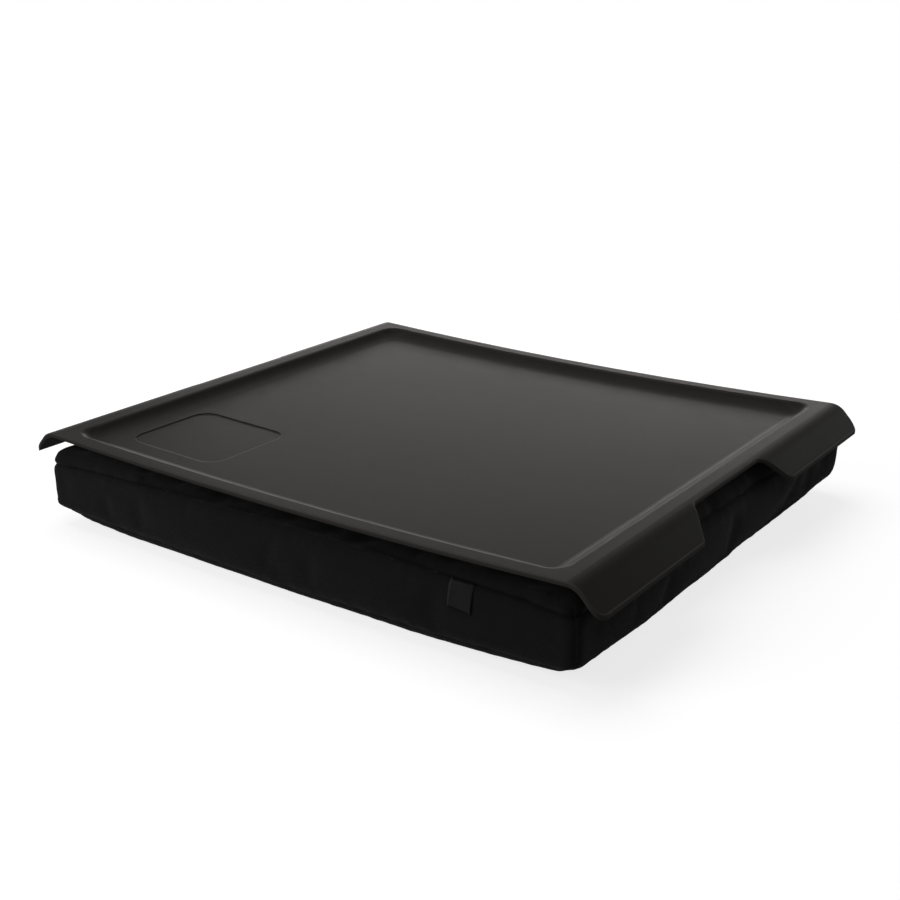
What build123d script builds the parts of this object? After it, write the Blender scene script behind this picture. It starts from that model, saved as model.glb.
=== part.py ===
from build123d import *
import math
import os

# Lap tray with a bead cushion. Sizes are in millimetres.
# The floor is z = 0, the tray's long side runs along X, and the front with the label faces -Y.

# Tray, overall
tray_length = 461.0
tray_depth = 383.0
tray_height = 65.0            # crest above the floor, halfway along the tray
tray_corner_radius = 8.0
shell_wall = 2.6
rim_radius = 1.1              # rounding of the rim's upper edge

# The whole tray is dished along X: the crest's ends stand above its middle
tray_dish = 4.0
dish_half_length = 200.0

# Sunk panel: its flat ends this far inside the tray's outline
panel_side_border = 43.5
panel_front_border = 22.5
panel_recess = 5.0
panel_wall_angle = 48.0       # lean of the recess wall, from upright
panel_corner_radius = 19.0
foot_radius = 13.0
crest_radius = 5.0

# Side wings
wing_reach = 22.5             # how far the wing runs outwards from the start of its bend
wing_bend_radius = 14.6
wing_angle = 47.0
wing_flare_radius = 6.0
wing_flare_angle = 30.0

# Hand cut-outs in the wings
notch_reach = 18.0
notch_length = 97.0
notch_mouth = 133.0
notch_corner_radius = 10.0
notch_mouth_radius = 8.0

# Mouse mark in the panel's front left corner, its gaps counted from the panel's flat
mouse_length = 82.0
mouse_depth = 76.0
mouse_sink = 0.5
mouse_corner_radius = 13.0
mouse_side_gap = 15.0
mouse_front_gap = 14.0

# Hook-and-loop tape between tray and cushion, its gaps counted from the panel's flat
tape_width = 25.0
hook_thickness = 1.3
loop_thickness = 1.5
hook_gap = 0.3                # left between hooks and loops, so that they meet without overlap
long_strip_front_gap = 28.5
long_strip_end_gap = 47.0
short_strip_side_gap = 8.5
short_strip_end_gap = 84.0

# Cushion: its widest line lies this far inside the tray's outline
cushion_side_inset = 14.5
cushion_front_inset = 1.5
cushion_corner_radius = 10.0
widest_share = 0.57           # height of the widest line, as a share of the cushion's height
upright_band = 12.0           # the walls stand straight here, halfway over and under the widest line
base_roll = 24.5              # how far the walls roll in between there and the floor
base_corner_radius = 130.0    # plan radius of the corners where the cushion rests
shoulder_flat = 7.7           # how far the tray presses the shoulder down
shoulder_roll = 24.0
shoulder_corner_radius = 48.0
cover_thickness = 0.8
lining_gap = 0.95
bag_thickness = 0.5
fill_gap = 0.3
seam_drop = 7.8               # from the cushion's top down to the front seam's middle
seam_crown_radius = 4800.0    # the seam hangs lower at the corners, as on a shallow dome
base_seam_height = 8.0
cover_steps = 3               # flats that stand for a quarter turn of the cushion's rounding
lining_steps = 3

# Label in the front seam
label_width = 16.0
label_drop = 18.0
label_corner_gap = 79.0       # from the cushion's end to the middle of the label
label_thickness = 0.5
label_gap = 0.3

# Zip in the back wall, on its widest line
zip_end_gap = 46.0            # from the cushion's end to the end of the zip
zip_slot_height = 10.5
zip_tape_thickness = 0.5
coil_height = 1.5
coil_thickness = 1.6
coil_gap = 1.3                # between the two coils, where the slider's divider runs
stop_length = 3.0
stop_lap = 0.4

# Zip slider and its pull
slider_length = 9.0
slider_plate = 0.6
slider_clearance = 0.15
slider_flange = 0.7
slider_side_clearance = 0.2
slider_mouth_flare = 1.0      # how much wider each side is at the mouth than at the tail
divider_length = 2.6
divider_clearance = 0.2
slider_stop_clearance = 0.5
slider_corner_radius = 0.9
bridge_length = 5.0
bridge_width = 1.5
bridge_thickness = 0.7
pull_thickness = 0.9
pull_clearance = 0.2
pull_width = 5.2
pull_side_bar = 1.0
pull_length = 21.0
pull_corner_radius = 1.2

# Tools that cut run past what they cut by this much
overrun = 5.0

panel_length = tray_length - 2 * panel_side_border
panel_depth = tray_depth - 2 * panel_front_border
cushion_length = tray_length - 2 * cushion_side_inset
cushion_depth = tray_depth - 2 * cushion_front_inset
zip_length = cushion_length - 2 * zip_end_gap

# The dish is an arc about an axis parallel to Y, far above the tray
dish_radius = (dish_half_length**2 + tray_dish**2) / (2 * tray_dish)
dish_centre = tray_height + dish_radius
dish_axis = Axis((0, 0, dish_centre), (0, 1, 0))

# Depths below the tray's top
hook_top = panel_recess + shell_wall
hook_bottom = hook_top + hook_thickness
loop_top = hook_bottom + hook_gap
cushion_top = loop_top + loop_thickness

# Heights above the floor, halfway along the front
cushion_height = tray_height - cushion_top
widest_height = widest_share * cushion_height
shoulder_height = cushion_height + shoulder_flat
seam_height = cushion_height - seam_drop


def on_dish(x, depth):
    """Point (x, z) that lies depth below the dished top of the tray."""
    reach = dish_radius + depth
    return x, dish_centre - math.sqrt(reach**2 - x**2)


def dish_layer(upper, lower):
    """Layer of the dish between two depths, wider and deeper than the whole tray."""
    half = tray_length / 2 + overrun
    outline = [
        ThreePointArc(on_dish(-half, lower), on_dish(0, lower), on_dish(half, lower)),
        Line(on_dish(half, lower), on_dish(half, upper)),
        ThreePointArc(on_dish(half, upper), on_dish(0, upper), on_dish(-half, upper)),
        Line(on_dish(-half, upper), on_dish(-half, lower)),
    ]
    profile = Plane.XZ * make_face(outline)
    return extrude(profile, amount=tray_depth / 2 + overrun, both=True)


def turned(centre, radius, angle):
    """Point at an angle in degrees from straight up, turning towards +X."""
    lean = math.radians(angle)
    return centre[0] + radius * math.sin(lean), centre[1] + radius * math.cos(lean)


def arc_about(centre, radius, first, last):
    middle = (first + last) / 2
    return ThreePointArc(turned(centre, radius, first), turned(centre, radius, middle),
                         turned(centre, radius, last))


def wing_line(depth):
    """Right half of the tray's section, depth below its top: dish, bend, slope, flare and tip."""
    bend_start = tray_length / 2 - wing_reach
    rise = math.degrees(math.asin(bend_start / dish_radius))
    tip_angle = wing_angle - wing_flare_angle
    dish_point = (0, dish_centre)
    bend_centre = turned(dish_point, -(dish_radius + wing_bend_radius), -rise)
    bend_end = turned(bend_centre, wing_bend_radius, wing_angle)
    flare_run = wing_flare_radius * (math.sin(math.radians(wing_angle)) - math.sin(math.radians(tip_angle)))
    slope_run = tray_length / 2 - flare_run - bend_end[0]
    slope_fall = slope_run * math.tan(math.radians(wing_angle))
    slope_end = (bend_end[0] + slope_run, bend_end[1] - slope_fall)
    flare_centre = turned(slope_end, wing_flare_radius, wing_angle)

    dish = arc_about(dish_point, -(dish_radius + depth), 0, -rise)
    bend = arc_about(bend_centre, wing_bend_radius - depth, -rise, wing_angle)
    flare = arc_about(flare_centre, -(wing_flare_radius + depth), wing_angle, tip_angle)
    tip_fall = overrun * math.tan(math.radians(tip_angle))
    tip = (flare.position_at(1).X + overrun, flare.position_at(1).Y - tip_fall)
    return [
        dish,
        bend,
        Line(bend.position_at(1), flare.position_at(0)),
        flare,
        Line(flare.position_at(1), tip),
    ]


def wing_band():
    """The tray's bent sheet before it is trimmed in plan, without the sunk panel."""
    top = wing_line(0)
    bottom = wing_line(shell_wall)
    middle = Line(top[0].position_at(0), bottom[0].position_at(0))
    tip = Line(top[-1].position_at(1), bottom[-1].position_at(1))
    half_profile = make_face(top + [tip] + bottom + [middle])
    profile = Plane.XZ * (half_profile + mirror(half_profile, Plane.YZ))
    return extrude(profile, amount=tray_depth / 2 + overrun, both=True)


def tray_plan():
    """Outline of the tray seen from above, with the hand cut-outs."""
    edge = tray_length / 2
    inner = edge - notch_reach
    plan = Rectangle(tray_length, tray_depth)
    for side in (-1, 1):
        notch = Polygon(
            (side * inner, -notch_length / 2),
            (side * edge, -notch_mouth / 2),
            (side * edge, notch_mouth / 2),
            (side * inner, notch_length / 2),
            align=None,
        )
        plan -= notch
    corners = plan.vertices()
    inner_corners = corners.filter_by(lambda v: abs(v.X) < edge - notch_reach / 2)
    mouth_corners = corners.filter_by(lambda v: abs(v.X) > edge - notch_reach / 2 and abs(v.Y) < notch_mouth)
    outer_corners = corners.filter_by(lambda v: abs(v.Y) > notch_mouth)
    plan = fillet(outer_corners, tray_corner_radius)
    for places, radius in ((mouth_corners, notch_mouth_radius), (inner_corners, notch_corner_radius)):
        spots = [(v.X, v.Y) for v in places]
        found = plan.vertices().filter_by(
            lambda v: min(math.dist((v.X, v.Y), s) for s in spots) < rim_radius
        )
        plan = fillet(found, radius)
    return plan


def panel_pocket(grow):
    """The hollow of the sunk panel, or with grow its outer skin, with leaning walls and a round foot."""
    lean = math.radians(panel_wall_angle)
    shift = grow * (1 - math.sin(lean)) / math.cos(lean)
    depth = panel_recess + grow
    height = depth + overrun
    spread = height * math.tan(lean)
    foot = foot_radius + grow
    # the flat ends where the foot's rounding starts, and the walls' own line meets the floor further out
    foot_run = foot_radius * math.tan((math.pi / 2 - lean) / 2)
    half_y = panel_depth / 2 + foot_run + shift
    half_x = panel_length / 2 + foot_run + shift
    floor_z = tray_height - depth
    across = Plane.YZ * make_face(Polyline(
        (-half_y, floor_z),
        (half_y, floor_z),
        (half_y + spread, floor_z + height),
        (-half_y - spread, floor_z + height),
        close=True,
    ))
    sweep = 2 * math.degrees(math.asin((tray_length / 2 + overrun) / dish_radius))
    hollow = revolve(across.rotate(dish_axis, -sweep / 2), dish_axis, sweep)
    foot_z = on_dish(half_x, depth)[1]
    below = height
    along = Plane.XZ * make_face(Polyline(
        (-half_x + below * math.tan(lean), foot_z - below),
        (half_x - below * math.tan(lean), foot_z - below),
        (half_x + spread, foot_z + height),
        (-half_x - spread, foot_z + height),
        close=True,
    ))
    hollow &= extrude(along, amount=tray_depth, both=True)
    upright = hollow.edges().filter_by(lambda e: abs(e.tangent_at(0.5).Z) > 0.3)
    hollow = fillet(upright, panel_corner_radius + grow)
    floor = hollow.faces().sort_by(Axis.Z)[0]
    return fillet(floor.edges(), foot)


def is_crest(edge):
    """True for an edge on the tray's dished top, inside its rim and bends: the mouth of the sunk panel."""
    place = edge.position_at(0.5)
    inside_x = abs(place.X) < tray_length / 2 - wing_reach - rim_radius
    inside_y = abs(place.Y) < tray_depth / 2 - 2 * rim_radius
    return inside_x and inside_y and abs(place.Z - on_dish(place.X, 0)[1]) < mouse_sink / 2


def make_tray_shell():
    """One moulding: the bent sheet, the sunk panel with its even wall, and a rounded crest and rim."""
    rim = wing_band() & extrude(tray_plan(), amount=2 * tray_height)
    tops = rim.faces().filter_by(lambda f: f.normal_at().Z > 0.2)
    walls = rim.faces().filter_by(lambda f: abs(f.normal_at().Z) < 0.1)
    rim = fillet(tops.edges() & walls.edges(), rim_radius)
    skin = panel_pocket(shell_wall) & dish_layer(0, 2 * hook_top)
    shell = rim + skin - panel_pocket(0)
    shell = fillet(shell.edges().filter_by(is_crest), crest_radius)
    mouse_x = mouse_side_gap + (mouse_length - panel_length) / 2
    mouse_y = mouse_front_gap + (mouse_depth - panel_depth) / 2
    mark = extrude(RectangleRounded(mouse_length, mouse_depth, mouse_corner_radius), amount=2 * tray_height)
    mark = Pos(mouse_x, mouse_y, 0) * mark & dish_layer(panel_recess - mouse_sink, panel_recess + mouse_sink)
    return shell - mark


def tape_strip(length, depth, x, y, upper, lower):
    """A strip of tape that follows the dish between two depths below the tray's top."""
    strip = extrude(Rectangle(length, depth), amount=2 * tray_height)
    return Pos(x, y, 0) * strip & dish_layer(upper, lower)


def tape_strips(upper, lower):
    """The four strips of one side of the hook-and-loop, each with its place in its name."""
    long_length = panel_length - 2 * long_strip_end_gap
    short_length = panel_depth - 2 * short_strip_end_gap
    long_y = (panel_depth - tape_width) / 2 - long_strip_front_gap
    short_x = (panel_length - tape_width) / 2 - short_strip_side_gap
    return {
        "front": tape_strip(long_length, tape_width, 0, -long_y, upper, lower),
        "rear": tape_strip(long_length, tape_width, 0, long_y, upper, lower),
        "left": tape_strip(tape_width, short_length, -short_x, 0, upper, lower),
        "right": tape_strip(tape_width, short_length, short_x, 0, upper, lower),
    }


def wall_section(end_height, pull_in, corner_radius, angle, inset):
    """Outline of the cushion partway round a roll from the upright band to where it closes, at end_height."""
    turn = math.radians(angle)
    roll = 1 - math.cos(turn)
    pull = pull_in * roll + inset
    corner = cushion_corner_radius + (corner_radius - cushion_corner_radius) * roll - inset
    outline = RectangleRounded(cushion_length - 2 * pull, cushion_depth - 2 * pull, corner)
    side = math.copysign(1, end_height - widest_height)
    start_height = widest_height + side * upright_band / 2
    height = start_height + (end_height - side * inset - start_height) * math.sin(turn)
    return Pos(0, 0, height) * outline


def cushion_form(inset, steps):
    """The cushion's crowned and rounded body, drawn in all round by inset, flat on the floor."""
    angles = [90 * step / steps for step in range(steps + 1)]
    sections = [wall_section(0, base_roll, base_corner_radius, a, inset) for a in reversed(angles)]
    for angle in angles:
        sections.append(wall_section(shoulder_height, shoulder_roll, shoulder_corner_radius, angle, inset))
    return loft(sections, ruled=True) & dish_layer(cushion_top + inset, 2 * tray_height)


def seam_ball_centre(height, radius):
    """Where a ball that meets the middle of the front wall has its centre: above if radius is negative."""
    return height - math.copysign(math.sqrt(radius**2 - (cushion_depth / 2)**2), radius)


def seam_ball(height, radius):
    """Ball that parts the cover along a seam."""
    return Pos(0, 0, seam_ball_centre(height, radius)) * Sphere(abs(radius))


def corner_wedge(turn):
    """Upright wedge round one side of the cushion, up to its corner seams. A turn of 0 is the front."""
    half_x = cushion_length / 2
    half_y = cushion_depth / 2
    if turn % 180:
        half_x, half_y = half_y, half_x
    wedge = Polygon(
        (0, half_x - half_y),
        (-half_x - overrun, -half_y - overrun),
        (half_x + overrun, -half_y - overrun),
        align=None,
    )
    return Rot(0, 0, turn) * extrude(wedge, amount=tray_height)


def span_box(low, high):
    """Box between two opposite corners."""
    size = [b - a for a, b in zip(low, high)]
    return Pos(*low) * Box(*size, align=Align.MIN)


def make_cover():
    """The cut and sewn cover: top, base, and a wall in four bands, the back one in halves for the zip."""
    cover = cushion_form(0, cover_steps) - cushion_form(cover_thickness, cover_steps)
    below_top = seam_ball(seam_height, seam_crown_radius)
    above_base = seam_ball(base_seam_height, -seam_crown_radius)
    wall = cover & below_top & above_base
    back = wall & corner_wedge(180)
    back -= span_box(
        (-zip_length / 2, 0, widest_height - zip_slot_height / 2),
        (zip_length / 2, tray_depth, widest_height + zip_slot_height / 2),
    )
    lower_half = span_box((-tray_length, 0, 0), (tray_length, tray_depth, widest_height))
    return {
        "cover_top": cover - below_top,
        "cover_base": cover - above_base,
        "cover_front_band": wall & corner_wedge(0),
        "cover_right_band": wall & corner_wedge(90),
        "cover_left_band": wall & corner_wedge(270),
        "cover_back_band_upper": back - lower_half,
        "cover_back_band_lower": back & lower_half,
    }


def make_filling():
    """The lining bag, and the beads that fill it."""
    bag_inset = cover_thickness + lining_gap
    bag_inner = bag_inset + bag_thickness
    return {
        "inner_bag": cushion_form(bag_inset, lining_steps) - cushion_form(bag_inner, lining_steps),
        "bead_fill": cushion_form(bag_inner + fill_gap, lining_steps),
    }


def make_label():
    """Folded label that hangs from the front seam and follows the wall."""
    label_x = cushion_length / 2 - label_corner_gap
    rise = math.sqrt(seam_crown_radius**2 - (cushion_depth / 2)**2 - label_x**2)
    seam = seam_ball_centre(seam_height, seam_crown_radius) + rise
    outside = cushion_form(-label_gap - label_thickness, cover_steps)
    sheet = outside - cushion_form(-label_gap, cover_steps)
    return sheet & span_box(
        (label_x - label_width / 2, -tray_depth, seam - label_drop),
        (label_x + label_width / 2, 0, seam),
    )


# The tapes lie in the middle of the cover's thickness, and the coils stand on their outer side
tape_back = (cushion_depth - cover_thickness - zip_tape_thickness) / 2
tape_front = tape_back + zip_tape_thickness
coil_front = tape_back + coil_thickness
coil_reach = coil_gap / 2 + coil_height
coil_end = zip_length / 2 - stop_length


def zip_bar(low_x, high_x, low_z, high_z, front):
    """Straight part of the zip, placed by its height above or below the zip's middle line."""
    return span_box((low_x, tape_back, widest_height + low_z), (high_x, front, widest_height + high_z))


def make_zip():
    """Two woven tapes with their coils, top stops and a bottom stop. It closes towards -X."""
    end = zip_length / 2
    stop_front = coil_front + stop_lap
    top_stops = Compound(children=[
        zip_bar(-end, -coil_end, coil_gap / 2, coil_reach, stop_front),
        zip_bar(-end, -coil_end, -coil_reach, -coil_gap / 2, stop_front),
    ])
    return {
        "zip_tape_upper": zip_bar(-end, end, coil_reach, zip_slot_height / 2, tape_front),
        "zip_tape_lower": zip_bar(-end, end, -zip_slot_height / 2, -coil_reach, tape_front),
        "zip_coil_upper": zip_bar(-coil_end, coil_end, coil_gap / 2, coil_reach, coil_front),
        "zip_coil_lower": zip_bar(-coil_end, coil_end, -coil_reach, -coil_gap / 2, coil_front),
        "zip_top_stops": top_stops,
        "zip_bottom_stop": zip_bar(coil_end, end, -coil_reach, coil_reach, stop_front),
    }


# The slider rests against the top stops, with its mouth towards them
slider_x = -coil_end + slider_stop_clearance + slider_length / 2
slider_front = coil_front + slider_clearance + slider_plate
pull_axis_y = slider_front + pull_clearance + pull_thickness / 2
bridge_height = pull_thickness + 2 * pull_clearance + bridge_thickness


def slider_outline(narrowing, lengthening):
    """Heart-shaped outline of the slider, wide at the mouth and narrow at the tail."""
    tail = coil_reach + slider_side_clearance + slider_flange - narrowing
    mouth = tail + slider_mouth_flare
    end = slider_length / 2 + lengthening
    half = Polyline((-end, 0), (-end, mouth), (0, mouth), (end, tail), (end, 0))
    return make_face(half + mirror(half, Plane.XZ))


def slider_layer(outline, back, front):
    """Slice of the slider between two distances from the middle of the tray."""
    facing_back = Plane(origin=(slider_x, back, widest_height), x_dir=(1, 0, 0), z_dir=(0, 1, 0))
    return extrude(facing_back * outline, amount=front - back)


def make_slider():
    """Cast slider: two plates, side flanges, the divider that parts the coils, and the pull's bridge."""
    outline = slider_outline(0, 0)
    outline = fillet(outline.vertices(), slider_corner_radius)
    inner_back = tape_back - slider_clearance
    inner_front = coil_front + slider_clearance
    plates = slider_layer(outline, inner_back - slider_plate, inner_back)
    plates += slider_layer(outline, inner_front, slider_front)
    channel = slider_outline(slider_flange, overrun)
    flanges = slider_layer(outline - channel, tape_front + slider_clearance, inner_front)
    divider_width = coil_gap - 2 * divider_clearance
    divider = Pos(-(slider_length - divider_length) / 2, 0) * Rectangle(divider_length, divider_width)
    body = plates + flanges + slider_layer(divider, inner_back, inner_front)

    arch = Rectangle(bridge_length, bridge_height, align=(Align.CENTER, Align.MIN))
    arch = fillet(arch.vertices().sort_by(Axis.Y)[-2:], bridge_thickness + pull_clearance)
    tunnel_height = bridge_height - bridge_thickness
    tunnel = Rectangle(bridge_length - 2 * bridge_thickness, tunnel_height, align=(Align.CENTER, Align.MIN))
    bridge = extrude(arch - tunnel, amount=bridge_width / 2, both=True)
    return body + Pos(slider_x, slider_front, widest_height) * bridge


def make_pull():
    """Flat pull with a window that goes round the bridge; its round end bar turns under the bridge."""
    bridge_corner = math.hypot(bridge_length / 2, bridge_height - pull_clearance - pull_thickness / 2)
    window_end = bridge_corner + pull_clearance
    plate = Pos(pull_length / 2, 0) * Rectangle(pull_length, pull_width)
    plate = fillet(plate.vertices().sort_by(Axis.X)[-2:], pull_corner_radius)
    plate -= Pos(window_end / 2, 0) * Rectangle(window_end, pull_width - 2 * pull_side_bar)
    facing_back = Plane(origin=(slider_x, pull_axis_y, widest_height), x_dir=(1, 0, 0), z_dir=(0, 1, 0))
    pull = extrude(facing_back * plate, amount=pull_thickness / 2, both=True)
    bar = Cylinder(pull_thickness / 2, pull_width)
    return pull + Pos(slider_x, pull_axis_y, widest_height) * bar


def make_parts():
    parts = {"tray_shell": make_tray_shell()}
    for place, strip in tape_strips(hook_top, hook_bottom).items():
        parts[f"hook_strip_{place}"] = strip
    for place, strip in tape_strips(loop_top, cushion_top).items():
        parts[f"loop_strip_{place}"] = strip
    parts.update(make_cover())
    parts.update(make_filling())
    parts["side_label"] = make_label()
    parts.update(make_zip())
    parts["zip_slider"] = make_slider()
    parts["zip_pull"] = make_pull()
    return parts


os.makedirs("parts", exist_ok=True)
for name, shape in make_parts().items():
    export_step(shape, f"parts/{name}.step")

travel = zip_length - 2 * (stop_length + slider_stop_clearance) - slider_length
print(f"slider runs {travel:.1f} from x {slider_x:.1f}")
print(f"pull turns about y {pull_axis_y:.2f}, z {widest_height:.3f}")
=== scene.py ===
import math

import bmesh
import bpy
import numpy as np
from mathutils import Matrix, Vector, noise
from mathutils.bvhtree import BVHTree


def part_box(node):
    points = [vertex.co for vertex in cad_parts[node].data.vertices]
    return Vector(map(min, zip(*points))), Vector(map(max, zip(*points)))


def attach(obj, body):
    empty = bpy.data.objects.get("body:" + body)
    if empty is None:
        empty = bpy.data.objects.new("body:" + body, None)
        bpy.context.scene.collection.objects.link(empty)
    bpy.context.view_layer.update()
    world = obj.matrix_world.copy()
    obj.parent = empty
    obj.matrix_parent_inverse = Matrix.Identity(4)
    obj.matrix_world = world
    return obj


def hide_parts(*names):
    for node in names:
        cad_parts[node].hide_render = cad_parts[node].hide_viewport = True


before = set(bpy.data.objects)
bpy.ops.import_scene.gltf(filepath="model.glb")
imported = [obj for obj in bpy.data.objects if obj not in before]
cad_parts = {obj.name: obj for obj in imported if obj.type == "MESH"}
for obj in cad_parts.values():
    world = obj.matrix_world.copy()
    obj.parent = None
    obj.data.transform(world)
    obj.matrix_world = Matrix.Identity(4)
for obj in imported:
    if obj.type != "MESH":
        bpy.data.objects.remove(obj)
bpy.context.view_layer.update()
MM = 0.001


# The tray: one moulding in black plastic with a soft matt coating and a fine grain. The CAD solid has its
# shape, so it stays and only gets its finish here. Its rim, its crest and the edge of the mark for the
# mouse get painted highlights: thin lines painted lighter where light catches these edges.

class Wire:
    """Output of a node. Arithmetic on wires and numbers adds the Math nodes."""

    def __init__(self, nodes, socket):
        self.nodes = nodes
        self.socket = socket

    def maths(self, operation, *values):
        return self.nodes.node("ShaderNodeMath", {"operation": operation}, dict(enumerate(values)))

    def __add__(self, other):
        return self.maths("ADD", self, other)

    def __sub__(self, other):
        return self.maths("SUBTRACT", self, other)

    def __rsub__(self, other):
        return self.maths("SUBTRACT", other, self)

    def __mul__(self, other):
        return self.maths("MULTIPLY", self, other)

    def __truediv__(self, other):
        return self.maths("DIVIDE", self, other)

    def __pow__(self, other):
        return self.maths("POWER", self, other)

    def __abs__(self):
        return self.maths("ABSOLUTE", self)

    __radd__ = __add__
    __rmul__ = __mul__

    def sine(self):
        return self.maths("SINE", self)

    def at_least(self, other):
        return self.maths("MAXIMUM", self, other)

    def at_most(self, other):
        return self.maths("MINIMUM", self, other)

    def rise(self, low, high):
        """0 below low, 1 above high, and a smooth rise between them."""
        span = {"interpolation_type": "SMOOTHSTEP"}
        return self.nodes.node("ShaderNodeMapRange", span, {"Value": self, "From Min": low, "From Max": high})


class Nodes:
    """A tree of nodes in the making."""

    def __init__(self, tree):
        self.tree = tree

    def node(self, kind, settings=None, values=None, outputs=(0,)):
        """Adds a node, sets it up and returns its outputs as wires."""
        made = self.tree.nodes.new(kind)
        for name, value in (settings or {}).items():
            setattr(made, name, value)
        for key, value in (values or {}).items():
            if isinstance(value, Wire):
                self.tree.links.new(value.socket, made.inputs[key])
            else:
                made.inputs[key].default_value = value
        wires = [Wire(self, made.outputs[name]) for name in outputs]
        return wires[0] if len(wires) == 1 else wires


class Finish(Nodes):
    """A material in the making."""

    def __init__(self, name):
        self.material = bpy.data.materials.new(name)
        self.material.use_nodes = True
        super().__init__(self.material.node_tree)
        self.tree.nodes.clear()
        self.place = self.node("ShaderNodeTexCoord", outputs=("Object",))

    def axes(self, vector=None):
        return self.node("ShaderNodeSeparateXYZ", None, {0: vector or self.place}, ("X", "Y", "Z"))

    def noise(self, size, detail=2.0):
        """Soft random mottle from 0 to 1, whose spots are about this size in metres."""
        values = {"Vector": self.place, "Scale": 1 / size, "Detail": detail}
        return self.node("ShaderNodeTexNoise", None, values, ("Fac",))

    def blend(self, share, first, second):
        """Colour between two others."""
        values = {"Factor": share, 6: first, 7: second}
        return self.node("ShaderNodeMix", {"data_type": "RGBA"}, values, (2,))

    def bump(self, height, distance):
        return self.node("ShaderNodeBump", None, {"Height": height, "Distance": distance})

    def surface(self, values):
        shader = self.node("ShaderNodeBsdfPrincipled", None, values)
        self.node("ShaderNodeOutputMaterial", None, {"Surface": shader}, ())
        return self.material


def tone(level, warmth=0.0):
    """Grey of this sRGB level from 0 to 255, with red raised and blue lowered by the warmth."""
    linear = []
    for shift in (warmth, 0, -warmth):
        share = (level + shift) / 255
        linear.append(share / 12.92 if share < 0.04045 else ((share + 0.055) / 1.055) ** 2.4)
    return (*linear, 1.0)


def beyond_outline(x, y, half_x, half_y, radius):
    """How far a point lies outside a rounded rectangle, and below 0 inside it."""
    over_x, over_y = abs(x) - (half_x - radius), abs(y) - (half_y - radius)
    corner = (over_x.at_least(0) ** 2 + over_y.at_least(0) ** 2) ** 0.5
    return corner + over_x.at_least(over_y).at_most(0) - radius


# Outlines in plan as half length, half depth and corner radius, and where each hand cut-out's floor and its
# slanted sides run
CREST = (198.5 * MM, 180.5 * MM, 31 * MM)
RIM = (230.5 * MM, 191.5 * MM, 8 * MM)
MOUSE_MARK = (41 * MM, 38 * MM, 13 * MM)
MARK_LEFT, MARK_FORWARD = 131 * MM, 117 * MM
CUT_OUT_FLOOR, CUT_OUT_SLANT = 212.5 * MM, 164 * MM


def make_tray_plastic():
    finish = Finish("soft_touch_plastic")
    along, across, _ = finish.axes()
    from_crest = abs(beyond_outline(along, across, *CREST))
    # painted highlight: a thin line along the crest of the panel, painted lighter where light catches it
    crest_highlight = 1 - from_crest.rise(0.4 * MM, 2.2 * MM)
    past_slant = (abs(along) - abs(across) - CUT_OUT_SLANT) * 0.71
    past_cut_out = (abs(along) - CUT_OUT_FLOOR).at_most(past_slant)
    to_rim = beyond_outline(along, across, *RIM).at_least(past_cut_out)
    # painted highlight: the rim's rounded outer edge, painted lighter where light catches it
    rim_highlight = to_rim.rise(-1.3 * MM, -0.7 * MM)
    mark = beyond_outline(along + MARK_LEFT, across + MARK_FORWARD, *MOUSE_MARK)
    mark_edge = mark.rise(-0.3 * MM, 0.7 * MM)
    # painted highlight: a thin line round the edge of the mark for the mouse, painted lighter
    mark_highlight_line = 1 - abs(mark - 0.2 * MM).rise(0.2 * MM, 0.7 * MM)
    cloud = finish.noise(70 * MM, 3.0)
    smear = finish.noise(14 * MM)
    grain = finish.noise(0.35 * MM, 1.0)
    plastic = finish.blend(cloud, tone(32, 1.5), tone(37, 1.5))
    # the three painted highlights together, as the share of the lighter tone
    lighter_share = (crest_highlight * 0.12).at_least(rim_highlight * 0.8).at_least(mark_highlight_line * 0.3)
    colour = finish.blend(lighter_share, plastic, tone(62, 1.5))
    return finish.surface({
        "Base Color": colour,
        "Roughness": 0.31 + cloud * 0.05 + smear * 0.05,
        "IOR": 1.065,
        "Normal": finish.bump(grain * 0.03 + mark_edge * 0.16, MM),
    })


def dress(node, material):
    """Gives a CAD node its finish."""
    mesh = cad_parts[node].data
    mesh.materials.clear()
    mesh.materials.append(material)


dress("tray_shell", make_tray_plastic())


# The cushion's cover: black polyester canvas, cut as a top, a base and a wall and sewn inside out, so
# that its seams show as grooves. The beads in it press it out. It starts from a slightly smaller form
# and is blown up as cloth, held where the zip and the loop tape are sewn on and where it rests.

front_low, front_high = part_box("cover_front_band")
slider_low, slider_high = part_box("zip_slider")
tape_low, tape_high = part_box("zip_tape_upper")
top_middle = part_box("loop_strip_front")[0].z
widest_z = (slider_low.z + slider_high.z) / 2
COVER_HALF_X = 215.5 * MM
COVER_HALF_Y = 189.6 * MM
DISH_RADIUS = 5.002           # of the tray's dish, which presses the top
SEAM_CROWN = 4.8              # radius of the shallow dome that the seams follow
SEAM_RISE = 3.5 * MM          # how far the beads push the upper seam above where it is cut
SHOULDER_HEIGHT = 65 * MM
UPRIGHT_CORNER = 3 * MM       # corner radius at the widest line
WALL_BAND = 5 * MM            # the walls stand straight this far over and under the widest line
BACK_WALL = 170 * MM          # only the back wall lies beyond this
SWELL = 2.1 * MM              # the cloth's start lies this far inside
PANEL_X, PANEL_Y = 190 * MM, 170 * MM      # half sizes of what the tray's panel presses flat
PUFF_HEIGHT, PUFF_WIDTH = 6 * MM, 14 * MM  # of the rim that puffs up beside it
# Where the beads have gone: how far each side rolls in at the floor, in mm, at the start and the end of the
# side counted anticlockwise from the back right corner, and each corner's radius and lift at the floor, how
# far its point stands out, and its roll and radius at the shoulder
ROLLS = {"back": (28, 28), "left": (30, 30), "front": (19.5, 21.5), "right": (27, 18)}
CORNERS = {"back_right": (90, 1, 5, 21, 40), "back_left": (90, 3, 3, 21, 40),
           "front_left": (150, 4, 3, 4, 12), "front_right": (28, 11, 0, 18, 34)}


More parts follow.
